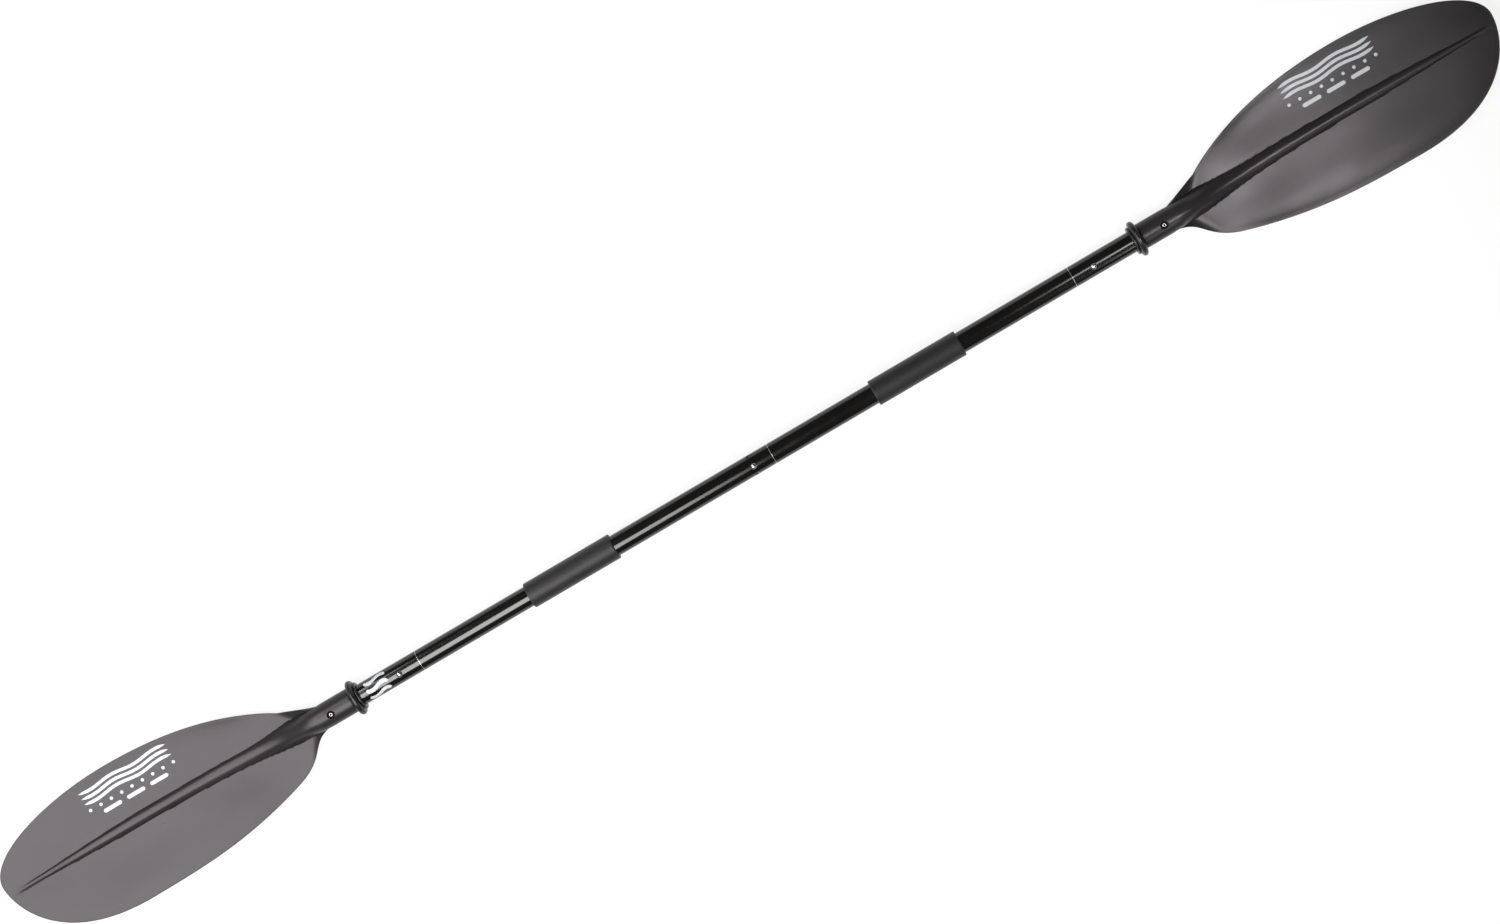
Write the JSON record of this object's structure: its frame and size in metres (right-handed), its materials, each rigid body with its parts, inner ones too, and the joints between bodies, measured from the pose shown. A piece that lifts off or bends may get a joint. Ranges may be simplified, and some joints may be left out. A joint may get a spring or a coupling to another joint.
{
  "type": "kayak paddle",
  "caption": "Double-bladed kayak paddle in four push-together sections, with asymmetric dished blades, foam grips, drip rings, spring buttons and a feathering centre joint.",
  "frame": {"origin": "on the floor under the middle of the shaft, with the paddle lying on the backs of its blades", "axes": "+X along the shaft to the right blade, +Y across the blades, +Z out of the power faces"},
  "size_m": [2.2, 0.1814, 0.0497],
  "materials": {
    "blade_plastic": "satin, fibre-filled, moulded",
    "tube": "gloss black",
    "ferrule": "black, satin",
    "grip_foam": "matte foam",
    "ring_rubber": "satin rubber",
    "button": "polished steel",
    "rivet": "dull steel",
    "spring_steel": "spring steel",
    "foam_plug": "closed-cell foam",
    "print": "plain printed stripes"
  },
  "bodies": {
    "right_shaft": {"right_shaft_tube": "tube", "right_grip": "grip_foam", "right_ferrule": "ferrule", "right_ferrule_plug": "foam_plug", "right_snap_spring": "spring_steel", "centre_ferrule": "ferrule", "centre_ferrule_plug": "foam_plug", "centre_snap_spring": "spring_steel"},
    "left_shaft": {"left_shaft_tube": "tube", "left_shaft_plug": "foam_plug", "left_grip": "grip_foam", "left_ferrule": "ferrule", "left_ferrule_plug": "foam_plug", "left_snap_spring": "spring_steel"},
    "left_blade": {"left_blade": "blade_plastic", "left_blade_rivet": "rivet", "left_blade_tube": "tube", "left_blade_tube_plug": "foam_plug"},
    "right_blade": {"right_blade": "blade_plastic", "right_blade_rivet": "rivet", "right_blade_tube": "tube", "right_blade_tube_plug": "foam_plug"},
    "left_ring": {"left_drip_ring": "ring_rubber"},
    "right_ring": {"right_drip_ring": "ring_rubber"},
    "left_button": {"left_snap_button": "button"},
    "centre_button": {"centre_snap_button": "button"},
    "right_button": {"right_snap_button": "button"}
  },
  "joints": [
    {"name": "feather", "type": "hinge", "parent": "right_shaft", "child": "left_shaft", "pos_m": [0.0404, 0, 0.02544], "axis": [1, 0, 0], "range_deg": [-65, 65], "deforming": ["centre_snap_button", "centre_snap_spring"]},
    {"name": "left_blade_pull", "type": "slide", "parent": "left_shaft", "child": "left_blade", "axis": [-1, 0, 0], "range_m": [0, 0.09], "deforming": ["left_snap_button", "left_snap_spring"]},
    {"name": "right_blade_pull", "type": "slide", "parent": "right_shaft", "child": "right_blade", "axis": [1, 0, 0], "range_m": [0, 0.09], "deforming": ["right_snap_button", "right_snap_spring"]},
    {"name": "left_ring_slide", "type": "slide", "parent": "left_blade", "child": "left_ring", "axis": [1, 0, 0], "range_m": [0, 0.045]},
    {"name": "right_ring_slide", "type": "slide", "parent": "right_blade", "child": "right_ring", "axis": [-1, 0, 0], "range_m": [0, 0.045]},
    {"name": "left_button_press", "type": "slide", "parent": "left_shaft", "child": "left_button", "axis": [0, 0, -1], "range_m": [0, 0.005], "stiffness_N_per_m": 2500, "springref_m": -0.002, "deforming": ["left_snap_spring"]},
    {"name": "centre_button_press", "type": "slide", "parent": "right_shaft", "child": "centre_button", "axis": [0, 0, -1], "range_m": [0, 0.005], "stiffness_N_per_m": 2500, "springref_m": -0.002, "deforming": ["centre_snap_spring"]},
    {"name": "right_button_press", "type": "slide", "parent": "right_shaft", "child": "right_button", "axis": [0, 0, -1], "range_m": [0, 0.005], "stiffness_N_per_m": 2500, "springref_m": -0.002, "deforming": ["right_snap_spring"]}
  ]
}
